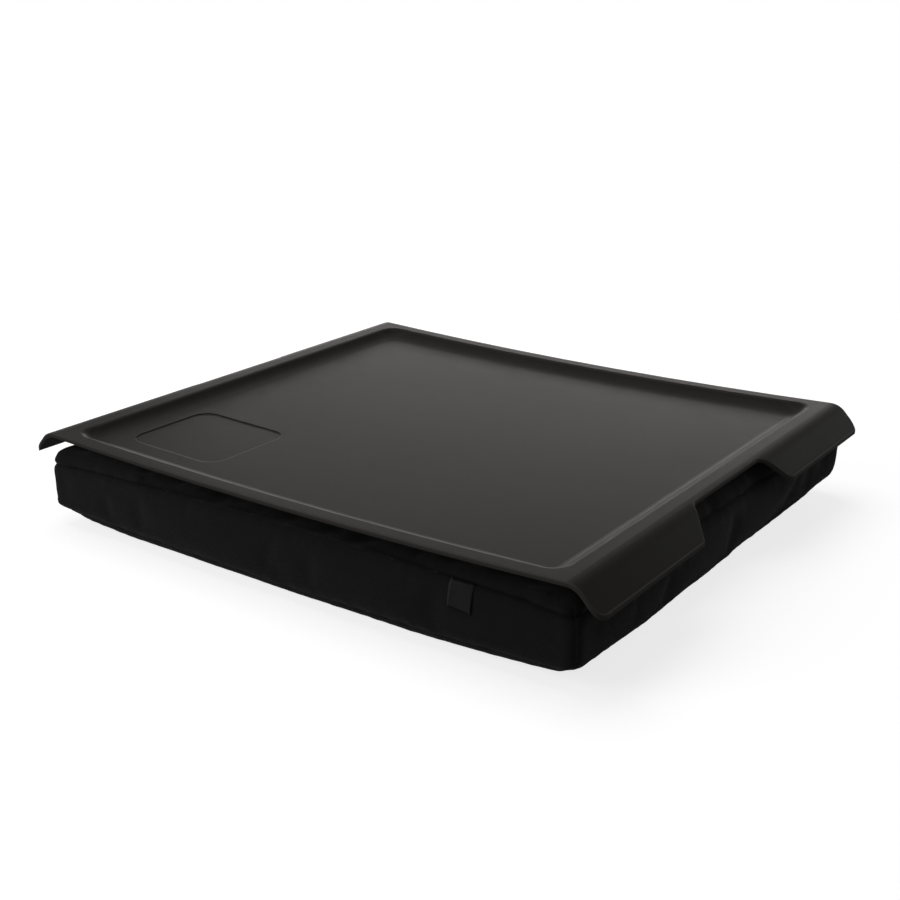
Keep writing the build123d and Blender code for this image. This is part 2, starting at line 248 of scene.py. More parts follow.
def cushion_top(x, y=0.0):
    """Height of the cushion's top: pressed flat under the tray's panel, and puffed up beside it."""
    beside = np.maximum(np.abs(x) - PANEL_X, np.abs(y) - PANEL_Y)
    puff = np.clip(beside / PUFF_WIDTH, 0, 1)
    return top_middle + x**2 / (2 * DISH_RADIUS) + PUFF_HEIGHT * puff**2 * (3 - 2 * puff)


def cushion_corners(turn, inset):
    """The four corners of one level as (x, y, sign of x, sign of y, radius)."""
    share = 1 - math.cos(math.radians(turn))
    found = []
    signs = {"back_right": (1, 1), "back_left": (-1, 1), "front_left": (-1, -1), "front_right": (1, -1)}
    sides = {"back_right": ("right", 1, "back", 0), "back_left": ("left", 0, "back", 1),
             "front_left": ("left", 1, "front", 0), "front_right": ("right", 0, "front", 1)}
    for corner, (sign_x, sign_y) in signs.items():
        side, side_end, face, face_end = sides[corner]
        radius, _, _, shoulder_roll, shoulder_corner = (size * MM for size in CORNERS[corner])
        if turn < 0:
            pull_x, pull_y = ROLLS[side][side_end] * MM * share, ROLLS[face][face_end] * MM * share
            radius = UPRIGHT_CORNER + (radius - UPRIGHT_CORNER) * share
        else:
            pull_x = pull_y = shoulder_roll * share**1.5
            radius = UPRIGHT_CORNER + (shoulder_corner - UPRIGHT_CORNER) * share**1.5
        found.append((
            sign_x * (COVER_HALF_X - pull_x - inset),
            sign_y * (COVER_HALF_Y - pull_y - inset),
            sign_x, sign_y, radius,
        ))
    return found


def cushion_ring(turn, inset):
    """Points once round the cushion: turn runs from -90 degrees at the floor to 90 at the shoulder."""
    arc_steps, side_steps = 24, 40
    rise = math.sin(math.radians(turn))
    if turn < 0:
        height = widest_z - WALL_BAND + (widest_z - WALL_BAND - inset) * rise
    else:
        height = widest_z + WALL_BAND + (SHOULDER_HEIGHT - inset - widest_z - WALL_BAND) * rise
    arcs = []
    for index, (x, y, sign_x, sign_y, radius) in enumerate(cushion_corners(turn, inset)):
        arc = []
        for angle in np.radians(np.linspace(90 * index, 90 * index + 90, arc_steps)):
            arc.append((x + radius * (math.cos(angle) - sign_x), y + radius * (math.sin(angle) - sign_y)))
        arcs.append(arc)
    points = []
    for index, arc in enumerate(arcs):
        start, end = np.array(arc[-1]), np.array(arcs[(index + 1) % 4][0])
        points += arc + [tuple(start + (end - start) * step / side_steps) for step in range(1, side_steps)]
    ring = []
    for x, y in points:
        # 1 at a corner, and 0 from partway along its sides
        nearness = min(1, max(0, (abs(x) / COVER_HALF_X + abs(y) / COVER_HALF_Y - 1.4) / 0.6))
        _, lift, point, _, _ = CORNERS[("front" if y < 0 else "back") + ("_left" if x < 0 else "_right")]
        lift *= MM * nearness**1.5 * max(0, -rise)
        longer = 1 + point * MM * nearness**3 / COVER_HALF_Y
        ring.append((x * longer, y * longer, min(height + lift, cushion_top(x, y) - inset)))
    return ring


def mesh_object(name, vertices, faces):
    mesh = bpy.data.meshes.new(name)
    mesh.from_pydata([tuple(v) for v in vertices], [], faces)
    made = bpy.data.objects.new(name, mesh)
    bpy.context.scene.collection.objects.link(made)
    return made


def cushion_form(inset):
    """Closed mesh of the cushion's form, drawn in by inset."""
    rings = [cushion_ring(turn, inset) for turn in np.linspace(-90, 90, 37)]
    # the base and the top close in towards the middle, as shares of their outer ring
    shrinks = np.linspace(0.94, 0.04, 16)
    bottom = [
        [(x * share, y * share, inset + (z - inset) * share**8) for x, y, z in rings[0]]
        for share in reversed(shrinks)
    ]
    top = [
        [(x * share, y * share, cushion_top(x * share, y * share) - inset) for x, y, _ in rings[-1]]
        for share in shrinks
    ]
    rings = bottom + rings + top
    count = len(rings[0])
    faces = []
    for level in range(len(rings) - 1):
        for step in range(count):
            here, beside = level * count + step, level * count + (step + 1) % count
            faces.append((here, beside, beside + count, here + count))
    total = len(rings) * count
    faces += [tuple(reversed(range(count))), tuple(range(total - count, total))]
    return mesh_object("cushion_cover", [point for ring in rings for point in ring], faces)


def bake_modifiers(obj):
    """Turns an object and its modifiers into a plain mesh."""
    evaluated = obj.evaluated_get(bpy.context.evaluated_depsgraph_get())
    mesh = bpy.data.meshes.new_from_object(evaluated)
    mesh.name = obj.name
    obj.modifiers.clear()
    obj.data = mesh


def points_of(mesh, kind="co"):
    """Places of the mesh's points, or with "normal" the way each of them faces."""
    flat = np.zeros(len(mesh.vertices) * 3)
    mesh.vertices.foreach_get(kind, flat)
    return flat.reshape(-1, 3)


def set_points(mesh, points):
    mesh.vertices.foreach_set("co", points.ravel())
    mesh.update()


def seam_heights(points):
    """Heights of the top and the base seam at these points: both hang or rise towards the corners."""
    away = (points[:, 0]**2 + points[:, 1]**2 - COVER_HALF_Y**2) / (2 * SEAM_CROWN)
    return front_high.z + SEAM_RISE - away, front_low.z + away


def corner_offset(points):
    """How far points lie from the four upright corner seams."""
    return (np.abs(points[:, 0]) - COVER_HALF_X - np.abs(points[:, 1]) + COVER_HALF_Y) / math.sqrt(2)


def even_out(cushion):
    """Gives the form a mesh of even squares, for the cloth."""
    grid = cushion.modifiers.new("even_mesh", "REMESH")
    grid.mode = "VOXEL"
    grid.voxel_size = 4.6 * MM
    bake_modifiers(cushion)


def blow_up(cushion):
    """Fills the cover with beads, which press it out as cloth."""
    start = points_of(cushion.data)
    x, y, z = start.T
    over_x = np.abs(x)
    skin = 3 * MM
    by_zip = (y > BACK_WALL) & (over_x < tape_high.x + 6 * MM) & (np.abs(z - widest_z) < 9 * MM)
    pressed = (z > cushion_top(x) - skin) & (over_x < 192 * MM) & (np.abs(y) < 160 * MM)
    resting = (z < skin) & (over_x < 150 * MM) & (np.abs(y) < 140 * MM)
    held = cushion.vertex_groups.new(name="held")
    held.add([int(i) for i in np.where(by_zip | pressed | resting)[0]], 1.0, "REPLACE")
    top_seam, base_seam = seam_heights(start)
    beside_seam = np.minimum(np.abs(z - top_seam), np.abs(z - base_seam))
    beside_seam = np.minimum(beside_seam, np.abs(corner_offset(start)))
    sewn = cushion.vertex_groups.new(name="sewn")
    sewn.add([int(i) for i in np.where(beside_seam < 4 * MM)[0]], 1.0, "REPLACE")
    cloth = cushion.modifiers.new("beads", "CLOTH")
    cloth.settings.quality = 6
    cloth.settings.use_pressure = True
    cloth.settings.uniform_pressure_force = 5
    cloth.settings.effector_weights.gravity = 0
    cloth.settings.vertex_group_mass = "held"
    cloth.settings.vertex_group_shrink = "sewn"
    # away from the seams the cloth is a little longer than the form, so it bulges between them
    cloth.settings.shrink_min = -0.006
    cloth.settings.shrink_max = 0.0
    cloth.settings.bending_stiffness = 5
    scene, last = bpy.context.scene, 20
    scene.frame_start, scene.frame_end = 1, last
    for moment in range(1, last + 1):
        scene.frame_set(moment)
    bake_modifiers(cushion)
    scene.frame_set(1)
    moved = points_of(cushion.data) - start
    reach = np.linalg.norm(moved, axis=1)
    limit = 3.5 * MM              # no point moves farther than this
    moved *= (limit * np.tanh(reach / limit) / np.maximum(reach, 1e-9))[:, None]
    return start + moved


def lay_between(points):
    """Keeps the cover on the floor and clear of the tray."""
    under_tray = cushion_top(points[:, 0], points[:, 1])
    points[:, 2] = np.clip(points[:, 2], 0.2 * MM, under_tray)
    return points


cover = cushion_form(SWELL)
even_out(cover)
set_points(cover.data, lay_between(blow_up(cover)))
smooth = cover.modifiers.new("smooth", "SUBSURF")
smooth.levels = smooth.render_levels = 1
bake_modifiers(cover)


# The seams of the cover: it is sewn inside out and turned, so each seam is a narrow groove with small
# puckers beside it. The zip shows between two folded edges in the back wall.

SLOT_HALF_Z = tape_high.z - widest_z
SEAM_DEPTH = 1.3 * MM
GROOVE_WIDTH = 1.1 * MM


def warp(sheet, shift):
    """Bends the sheet so that a seam, which lies on a shallow dome, is level, and with -1 bends it back."""
    for vertex in sheet.verts:
        vertex.co.z += shift * (vertex.co.x**2 + vertex.co.y**2 - COVER_HALF_Y**2) / (2 * SEAM_CROWN)


def cut_faces(sheet, chosen, place, direction):
    """Cuts the chosen faces where they cross a plane."""
    faces = [face for face in sheet.faces if chosen(face.calc_center_median())]
    geometry = faces + list({edge for face in faces for edge in face.edges})
    geometry += list({vertex for face in faces for vertex in face.verts})
    bmesh.ops.bisect_plane(sheet, geom=geometry, dist=1e-7, plane_co=place, plane_no=direction)


def near_zip(spot):
    return spot.y > BACK_WALL and abs(spot.x) < tape_high.x + 12 * MM and abs(spot.z - widest_z) < 14 * MM


def cut_seams(mesh):
    """Gives the mesh edges along each seam, so that the grooves are crisp."""
    sheet = bmesh.new()
    sheet.from_mesh(mesh)
    groove_cuts = [step * GROOVE_WIDTH for step in (-2, -1, 0, 1, 2)]
    for height, crown in ((front_high.z + SEAM_RISE, 1), (front_low.z, -1)):
        warp(sheet, crown)
        for offset in groove_cuts:
            cut = height + offset
            cut_faces(sheet, lambda spot: abs(spot.z - cut) < 6 * MM, (0, 0, cut), (0, 0, 1))
        warp(sheet, -crown)
    for sign_x in (-1, 1):
        for sign_y in (-1, 1):
            corner = Vector((sign_x * COVER_HALF_X, sign_y * COVER_HALF_Y, 0))
            across = Vector((sign_x, -sign_y, 0)).normalized()
            for offset in groove_cuts:
                cut_faces(
                    sheet,
                    lambda spot: (spot.xy - corner.xy).length < 50 * MM and 4 * MM < spot.z < 50 * MM,
                    corner + across * offset, across,
                )
    for edge_z in (-SLOT_HALF_Z, SLOT_HALF_Z):
        for lip in (0, 0.5 * MM):
            place = (0, 0, widest_z + edge_z - math.copysign(lip, edge_z))
            cut_faces(sheet, near_zip, place, (0, 0, 1))
    for edge_x in (tape_low.x, tape_high.x):
        for lip in (0, 0.5 * MM):
            cut_faces(sheet, near_zip, (edge_x - math.copysign(lip, edge_x), 0, 0), (1, 0, 0))
    sheet.to_mesh(mesh)
    sheet.free()
    mesh.update()


def draw_in_seams(mesh):
    """Presses the grooves in, with a puff and puckers on both sides."""
    points, normals = points_of(mesh), points_of(mesh, "normal")
    x, y, z = points.T
    top_seam, base_seam = seam_heights(points)
    on_wall = (z < top_seam + 3 * MM) & (z > base_seam - 3 * MM)
    on_edge = (np.abs(x) > 150 * MM) | (np.abs(y) > 130 * MM)
    by_corner = on_wall & on_edge & (np.abs(x) > 180 * MM) & (np.abs(y) > 150 * MM)
    along = np.where(np.abs(y) * COVER_HALF_X > np.abs(x) * COVER_HALF_Y, x, y)
    # each as its distance, its length run, where it is, and its depth
    seams = (
        (z - top_seam, along, on_edge, SEAM_DEPTH),
        (z - base_seam, along, on_edge & (z < 20 * MM), 0.6 * MM),
        (corner_offset(points), z, by_corner, 0.5 * MM),
    )
    puff_height, puff_away, puff_width = 0.45 * MM, 5 * MM, 3.2 * MM
    pucker_height, pucker_length, pucker_reach = 0.5 * MM, 6.5 * MM, 7 * MM
    push, groove_shade = np.zeros(len(points)), np.zeros(len(points))
    for index, (offset, line, there, depth) in enumerate(seams):
        away = np.abs(offset)
        groove_shade = np.maximum(groove_shade, there * depth / SEAM_DEPTH * np.exp(-(away / GROOVE_WIDTH)**2))
        groove = -depth * np.exp(-(away / (1.3 * MM))**2)
        puff = puff_height * np.exp(-((away - puff_away) / puff_width)**2)
        pucker = np.array([
            noise.noise(Vector((run / pucker_length, 9.1 * index, (side > 0) * 3.7))) if gap < 20 * MM else 0
            for run, side, gap in zip(line, offset, away)
        ])
        pucker *= pucker_height * np.exp(-away / pucker_reach) * (1 - np.exp(-(away / (1.5 * MM))**2))
        push += np.where(there, groove + puff + pucker, 0)
    points = points + normals * push[:, None]
    set_points(mesh, lay_between(points))
    # the groove attribute carries painted shade: how far the canvas is painted darker in each seam's groove
    mesh.attributes.new("groove", "FLOAT", "POINT").data.foreach_set("value", groove_shade)


def open_zip(mesh):
    """Lays the back wall flat round the zip and sinks the slot that shows it."""
    points = points_of(mesh)
    x, y, z = points.T
    beyond_x = np.maximum(np.abs(x) - tape_high.x, 0)
    beyond_z = np.maximum(np.abs(z - widest_z) - SLOT_HALF_Z, 0)
    beyond = np.hypot(beyond_x * 0.6, beyond_z)
    nearness = np.clip(1 - beyond / (11 * MM), 0, 1)
    nearness = np.where(y > BACK_WALL, nearness**2 * (3 - 2 * nearness), 0)
    fold_y, floor_y = tape_high.y + 0.55 * MM, tape_low.y - 0.3 * MM
    y = y + (fold_y - y) * nearness
    margin = 0.3 * MM
    in_slot = (np.abs(x) < tape_high.x - margin) & (np.abs(z - widest_z) < SLOT_HALF_Z - margin)
    points[:, 1] = np.where(in_slot & (y > BACK_WALL), floor_y, y)
    set_points(mesh, points)


cut_seams(cover.data)
draw_in_seams(cover.data)
open_zip(cover.data)
cover.data.shade_smooth()
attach(cover, "cushion")
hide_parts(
    "cover_top", "cover_base", "cover_front_band", "cover_right_band", "cover_left_band",
    "cover_back_band_upper", "cover_back_band_lower", "inner_bag", "bead_fill",
)


def plain_weave(first, second, pitch):
    """Height of threads that pass over and under each other, from -1 to 1."""
    return (first * (math.pi / pitch)).sine() * (second * (math.pi / pitch)).sine()


def make_canvas():
    finish = Finish("black_canvas")
    x, y, z = finish.axes()
    facing = finish.node("ShaderNodeNewGeometry", outputs=("Normal",))
    to_x, to_y, to_z = finish.axes(facing)
    thread = 0.7 * MM
    cloth = to_x ** 2 * plain_weave(y, z, thread) + to_y ** 2 * plain_weave(x, z, thread)
    cloth = cloth + to_z ** 2 * plain_weave(x, y, thread)
    groove = finish.node("ShaderNodeAttribute", {"attribute_name": "groove"}, None, ("Fac",))
    cloud = finish.noise(25 * MM, 3.0)
    slub = finish.noise(1.6 * MM)
    colour = finish.blend(cloud, tone(23), tone(29))
    thread_tops = (cloth * 0.5 + slub * 0.5).at_least(0)
    colour = finish.blend(thread_tops * 0.35, colour, tone(38))
    # painted shade: the canvas is painted nearly black in the seams' grooves
    colour = finish.blend(groove.at_most(1) * 0.75, colour, tone(9))
    return finish.surface({
        "Base Color": colour,
        "Roughness": 0.88 + slub * 0.08,
        "IOR": 1.15,
        "Sheen Weight": 0.06,
        "Sheen Roughness": 0.5,
        "Normal": finish.bump(cloth * 0.09 + slub * 0.12, MM),
    })


cover.data.materials.append(make_canvas())


# The zip: a nylon coil on two woven tapes, sewn behind the slot with one row of stitches on each side.
# Each coil is one thread wound into teeth that mesh with the other's. Its slider and stops are blackened
# zinc.

class Pattern(Nodes):
    """A Geometry Nodes tree in the making. Each of its sizes is a named input."""

    def __init__(self, name, *sizes):
        super().__init__(bpy.data.node_groups.new(name, "GeometryNodeTree"))
        self.tree.interface.new_socket("Geometry", in_out="OUTPUT", socket_type="NodeSocketGeometry")
        self.keys = {}
        for size in sizes:
            socket = self.tree.interface.new_socket(size, in_out="INPUT", socket_type="NodeSocketFloat")
            self.keys[size] = socket.identifier
        self.sizes = self.node("NodeGroupInput", outputs=sizes)

    def vector(self, x=0.0, y=0.0, z=0.0):
        return self.node("ShaderNodeCombineXYZ", None, {0: x, 1: y, 2: z})

    def row(self, thing, length, pitch, start):
        """Copies of a thing along x, one every pitch."""
        line = self.node("GeometryNodeMeshLine", None, {
            "Count": length / pitch, "Start Location": self.vector(start), "Offset": self.vector(pitch)})
        return self.node("GeometryNodeInstanceOnPoints", None, {"Points": line, "Instance": thing})

    def close(self, geometry, material):
        """Ends the tree with this geometry in this material."""
        real = self.node("GeometryNodeRealizeInstances", None, {0: geometry})
        smooth = self.node("GeometryNodeSetShadeSmooth", None, {0: real})
        made = self.node("GeometryNodeSetMaterial", None, {"Geometry": smooth, "Material": material})
        self.node("NodeGroupOutput", None, {0: made}, ())

    def grow(self, name, **sizes):
        """Object with a plain mesh that the tree makes with these sizes."""
        made = mesh_object(name, [], [])
        modifier = made.modifiers.new(name, "NODES")
        modifier.node_group = self.tree
        for size, value in sizes.items():
            modifier[self.keys[size]] = value
        bake_modifiers(made)
        return made


def make_coil_pattern(material):
    pattern = Pattern("zip_coil", "length", "pitch", "half_height", "half_depth", "thread")
    length, pitch, half_height, half_depth, thread = pattern.sizes
    ring = pattern.node("GeometryNodeCurvePrimitiveCircle", None, {"Resolution": 8, "Radius": 1.0})
    lean = (0, math.radians(90), math.radians(14))
    ring = pattern.node("GeometryNodeTransform", None, {
        0: ring, "Rotation": lean, "Scale": pattern.vector(half_height, half_depth, 1.0)})
    profile = pattern.node("GeometryNodeCurvePrimitiveCircle", None, {"Resolution": 4, "Radius": thread})
    tooth = pattern.node("GeometryNodeCurveToMesh", None, {0: ring, "Profile Curve": profile})
    pattern.close(pattern.row(tooth, length, pitch, length * -0.5), material)
    return pattern


def make_stitch_pattern(material):
    pattern = Pattern("stitches", "length", "pitch", "stitch", "thread")
    length, pitch, stitch, thread = pattern.sizes
    bead = pattern.node("GeometryNodeMeshIcoSphere", None, {"Radius": 0.5, "Subdivisions": 1})
    bead = pattern.node("GeometryNodeTransform", None, {
        0: bead, "Scale": pattern.vector(stitch, thread, thread)})
    pattern.close(pattern.row(bead, length, pitch, (length - pitch) * -0.5), material)
    return pattern


def make_thread():
    finish = Finish("black_thread")
    twist = (finish.axes()[0] * (2 * math.pi / (0.5 * MM))).sine()
    return finish.surface({
        "Base Color": finish.blend(finish.noise(3 * MM), tone(22), tone(34)),
        "Roughness": 0.6,
        "Normal": finish.bump(twist, 0.05 * MM),
    })


def make_nylon():
    finish = Finish("black_nylon")
    return finish.surface({
        "Base Color": finish.blend(finish.noise(9 * MM), tone(18), tone(27)),
        "Roughness": 0.34 + finish.noise(2 * MM) * 0.12,
        "Normal": finish.bump(finish.noise(0.3 * MM), 0.02 * MM),
    })


def make_zip_tape():
    finish = Finish("zip_tape")
    x, _, z = finish.axes()
    slant = (z * (math.pi / (1.5 * MM))).sine().rise(-0.1, 0.1) * 2 - 1
    rib = (x * (2 * math.pi / (0.6 * MM)) + slant * z * (2 * math.pi / (0.6 * MM))).sine()
    return finish.surface({
        "Base Color": finish.blend(rib * 0.5 + 0.5, tone(15), tone(27)),
        "Roughness": 0.8,
        "Normal": finish.bump(rib, 0.08 * MM),
    })


def make_dark_metal():
    finish = Finish("blackened_zinc")
    rub = finish.noise(1.8 * MM, 4.0)
    # rubbed spots, where the blackening is worn off towards bare metal
    lighter_share = rub.rise(0.5, 0.75)
    return finish.surface({
        "Base Color": finish.blend(lighter_share * 0.5, tone(46), tone(90)),
        "Metallic": 0.85,
        "Roughness": 0.42 - lighter_share * 0.14,
        "Normal": finish.bump(rub, 0.04 * MM),
    })


def joined(name, pieces, material):
    """One object in this material, in place of several."""
    sheet = bmesh.new()
    for piece in pieces:
        sheet.from_mesh(piece.data)
    whole = mesh_object(name, [], [])
    for face in sheet.faces:
        face.material_index = 0
    sheet.to_mesh(whole.data)
    whole.data.materials.append(material)
    sheet.free()
    for piece in pieces:
        bpy.data.objects.remove(piece)
    whole.data.shade_smooth()
    return whole


def stitch_row(start, end):
    """Row of stitches in a straight line between two points."""
    run = Vector(end) - Vector(start)
    row = stitches.grow("stitches", length=run.length, pitch=3.0 * MM, stitch=2.3 * MM, thread=0.42 * MM)
    turn = run.to_track_quat("X", "Z").to_matrix().to_4x4()
    row.data.transform(Matrix.Translation((Vector(start) + Vector(end)) / 2) @ turn)
    return row


def rounded_block(low, high, rounding):
    """Block with rounded edges."""
    corners = [[(low, high)[bit >> axis & 1][axis] for axis in range(3)] for bit in range(8)]
    faces = [(0, 2, 3, 1), (4, 5, 7, 6), (0, 1, 5, 4), (2, 6, 7, 3), (0, 4, 6, 2), (1, 3, 7, 5)]
    block = mesh_object("block", corners, faces)
    bevel = block.modifiers.new("rounding", "BEVEL")
    bevel.width, bevel.segments = rounding, 3
    bake_modifiers(block)
    return block


thread = make_thread()
stitches = make_stitch_pattern(thread)
coil_low, coil_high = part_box("zip_coil_upper")
coils = make_coil_pattern(make_nylon())
coil_away = 1.35 * MM
for side, sign in (("upper", 1), ("lower", -1)):
    coil = coils.grow(f"zip_teeth_{side}", length=coil_high.x - coil_low.x, pitch=1.6 * MM,
                      half_height=1.0 * MM, half_depth=0.55 * MM, thread=0.24 * MM)
    # the teeth of one coil stand between those of the other
    meshing = 0.2 * MM if side == "upper" else 0
    middle = (meshing, (coil_low.y + coil_high.y) / 2, widest_z + sign * coil_away)
    coil.data.transform(Matrix.Translation(middle))
    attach(coil, "cushion")
    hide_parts(f"zip_coil_{side}")
zip_tape = make_zip_tape()
dress("zip_tape_upper", zip_tape)
dress("zip_tape_lower", zip_tape)

dark_metal = make_dark_metal()
dress("zip_slider", dark_metal)
dress("zip_pull", dark_metal)
stops_low, stops_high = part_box("zip_top_stops")
upper_stop_low = Vector((stops_low.x, stops_low.y, coil_low.z))
lower_stop_high = Vector((stops_high.x, stops_high.y, 2 * widest_z - coil_low.z))
top_blocks = [
    rounded_block(upper_stop_low, stops_high, 0.4 * MM),
    rounded_block(stops_low, lower_stop_high, 0.4 * MM),
]
bottom_block = [rounded_block(*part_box("zip_bottom_stop"), 0.5 * MM)]
for name, parts in (("zip_top_stops", top_blocks), ("zip_bottom_stop", bottom_block)):
    stop = joined(f"{name}_crimped", parts, dark_metal)
    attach(stop, "cushion")
    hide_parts(name)

sewn_x, sewn_y, sewn_z = tape_high.x + 3 * MM, tape_high.y + 0.6 * MM, SLOT_HALF_Z + 2.6 * MM
rows = []
for sign in (-1, 1):
    row_x, row_z = sign * sewn_x, widest_z + sign * sewn_z
    rows.append(stitch_row((-sewn_x, sewn_y, row_z), (sewn_x, sewn_y, row_z)))
    rows.append(stitch_row((row_x, sewn_y, widest_z - sewn_z), (row_x, sewn_y, widest_z + sewn_z)))
zip_stitching = joined("zip_stitching", rows, thread)
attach(zip_stitching, "cushion")


# The label: a black satin ribbon, folded once and caught by both ends in the front seam, so that it
# hangs from it as a flap. It is bare.

def wall_point(surface, x, z):
    """Where the front of the cushion is at this place."""
    return surface.ray_cast(Vector((x, -0.3, z)), Vector((0, 1, 0)))[0]


def make_label():
    """The flap, which hugs the cushion's wall and stands off it a little towards its fold."""
    low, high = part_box("side_label")
    high.z += SEAM_RISE
    low.z += 1.6 * SEAM_RISE
    walls = cover.data
    surface = BVHTree.FromPolygons([v.co for v in walls.vertices], [p.vertices for p in walls.polygons])
    drops = np.linspace(0, 1, 15)
    lean, layer_gap = 0.5 * MM, 0.28 * MM
    vertices, columns = [], 13
    for layer in (0, 1):
        for drop in drops if layer == 0 else drops[::-1]:
            for across in np.linspace(0, 1, columns):
                x = low.x + (high.x - low.x) * across + lean * drop
                z = high.z - (high.z - low.z) * drop - lean * across * drop
                wall = wall_point(surface, x, min(z, high.z - 0.5 * MM)).y
                stand = (0.25 + 0.55 * drop + 0.5 * drop * across**2) * MM
                fold = layer_gap * (1 if drop < 1 else 0.5)
                vertices.append((x, wall - stand - fold * (1 - layer), z))
    faces = []
    for row in range(2 * len(drops) - 1):
        for step in range(columns - 1):
            here = row * columns + step
            faces.append((here, here + 1, here + columns + 1, here + columns))
    label = mesh_object("satin_label", vertices, faces)
    thickness = label.modifiers.new("ribbon", "SOLIDIFY")
    thickness.thickness, thickness.offset = 0.18 * MM, 0
    bake_modifiers(label)
    label.data.shade_smooth()
    return label


def make_satin():
    finish = Finish("black_satin")
    low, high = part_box("side_label")
    x, _, z = finish.axes()
    ribs = (z * (2 * math.pi / (0.35 * MM))).sine()
    middle = (low.x + high.x) / 2 + 0.25 * MM
    # painted highlight: the label's side edges are painted lighter, where light catches them
    edge_highlight = abs(x - middle).rise(7.1 * MM, 7.7 * MM)
    colour = finish.blend(ribs * 0.5 + 0.5, tone(12), tone(17))
    return finish.surface({
        "Base Color": finish.blend(edge_highlight * 0.5, colour, tone(70)),
        "Roughness": 0.46 + finish.noise(3 * MM) * 0.1,
        "IOR": 1.2,
        "Normal": finish.bump(ribs, 0.03 * MM),
    })


label = make_label()
label.data.materials.append(make_satin())
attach(label, "cushion")
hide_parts("side_label")


# Hook-and-loop tape: four strips of nylon hooks stuck under the tray's panel, and four strips of loop
# pile sewn on top of the cushion. They hold the tray on and let it be pulled off.

def make_tape_pattern(name, handles, end, material):
    """Woven tape with one bent thread on each point of a grid, along the dished top of the cushion."""
    pattern = Pattern(name, "length", "width", "middle_x", "middle_y", "height", "thread_height", "spacing",
                      "turn", "spread", "backing")
    length, width, middle_x, middle_y, height, thread_height, spacing, turn, spread, backing = pattern.sizes
    grid = pattern.node("GeometryNodeMeshGrid", None, {
        "Size X": length, "Size Y": width,
        "Vertices X": length / spacing, "Vertices Y": width / spacing}, ("Mesh",))
    place = pattern.node("GeometryNodeInputPosition")
    x, _, _ = pattern.node("ShaderNodeSeparateXYZ", None, {0: place}, (0, 1, 2))
    rise = (x + middle_x) ** 2 / (2 * DISH_RADIUS)
    grid = pattern.node("GeometryNodeSetPosition", None, {
        0: grid, "Offset": pattern.vector(middle_x, middle_y, height + rise)})
    root, first, second, tip = ((0, 0, 0), *handles, end)
    bent = pattern.node("GeometryNodeCurvePrimitiveBezierSegment", None, {
        "Resolution": 5, "Start": root, "Start Handle": first, "End Handle": second, "End": tip})
    bent = pattern.node("GeometryNodeTransform", None, {
        0: bent, "Scale": pattern.vector(thread_height, thread_height, thread_height)})
    profile = pattern.node("GeometryNodeCurvePrimitiveCircle", None, {"Resolution": 3, "Radius": 0.09 * MM})
    bent = pattern.node("GeometryNodeCurveToMesh", None, {0: bent, "Profile Curve": profile})
    spin = pattern.node("FunctionNodeRandomValue", {"data_type": "FLOAT"}, {3: spread, "Seed": 7}, (1,))
    threads = pattern.node("GeometryNodeInstanceOnPoints", None, {
        "Points": grid, "Instance": bent, "Rotation": pattern.vector(turn, 0.0, spin)})
    down = pattern.vector(0.0, 0.0, backing)
    other = pattern.node("GeometryNodeExtrudeMesh", None, {
        0: grid, "Offset": down, "Offset Scale": 1.0, "Individual": False})
    both = pattern.tree.nodes.new("GeometryNodeJoinGeometry")
    for part in (threads, other, grid):
        pattern.tree.links.new(part.socket, both.inputs[0])
    pattern.close(Wire(pattern, both.outputs[0]), material)
    return pattern


def make_tape_nylon(name, dark, light):
    finish = Finish(name)
    x, y, _ = finish.axes()
    return finish.surface({
        "Base Color": finish.blend(finish.noise(2 * MM, 3.0), tone(dark), tone(light)),
        "Roughness": 0.62,
        "Sheen Weight": 0.1,
        "Normal": finish.bump(plain_weave(x, y, 0.5 * MM), 0.06 * MM),
    })


hook_tapes = make_tape_pattern("hook_tape", ((0, 0, 1.0), (0.75, 0, 1.35)), (0.62, 0, 0.5),
                               make_tape_nylon("black_hooks", 20, 30))
loop_tapes = make_tape_pattern("loop_tape", ((-0.5, 0, 1.4), (1.2, 0.3, 1.4)), (0.7, 0.2, 0.0),
                               make_tape_nylon("black_pile", 24, 38))
backing = 0.5 * MM
level = top_middle + backing
hook_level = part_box("hook_strip_front")[0].z + 0.8 * MM
for place in ("front", "rear", "left", "right"):
    low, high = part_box(f"loop_strip_{place}")
    length, width = high.x - low.x, high.y - low.y
    middle_x, middle_y = (low.x + high.x) / 2, (low.y + high.y) / 2
    shape = {"length": length, "width": width, "middle_x": middle_x, "middle_y": middle_y,
             "spread": 2 * math.pi}
    loops = loop_tapes.grow(f"loop_pile_{place}", height=level, thread_height=0.85 * MM, spacing=2.0 * MM,
                            turn=0.0, backing=-backing, **shape)
    edge_x, edge_y, sewn_z = length / 2 - 2 * MM, width / 2 - 2 * MM, level + 0.3 * MM
    rows = []
    for sign in (-1, 1):
        row_x, row_y = middle_x + sign * edge_x, middle_y + sign * edge_y
        rows.append(stitch_row((middle_x - edge_x, row_y, sewn_z), (middle_x + edge_x, row_y, sewn_z)))
        rows.append(stitch_row((row_x, middle_y - edge_y, sewn_z), (row_x, middle_y + edge_y, sewn_z)))
    sewn = joined(f"loop_stitching_{place}", rows, thread)
    points = points_of(sewn.data)
    points[:, 2] += cushion_top(points[:, 0]) - top_middle
    set_points(sewn.data, points)
    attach(loops, "cushion")
    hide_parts(f"loop_strip_{place}")
    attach(sewn, "cushion")
    hooks = hook_tapes.grow(f"hook_tape_{place}", height=hook_level, thread_height=0.72 * MM,
                            spacing=1.9 * MM, turn=math.pi, backing=backing, **shape)
    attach(hooks, "tray")
    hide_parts(f"hook_strip_{place}")


# The photographer's table: a white floor that keeps the shadow, soft boxes, and the camera.

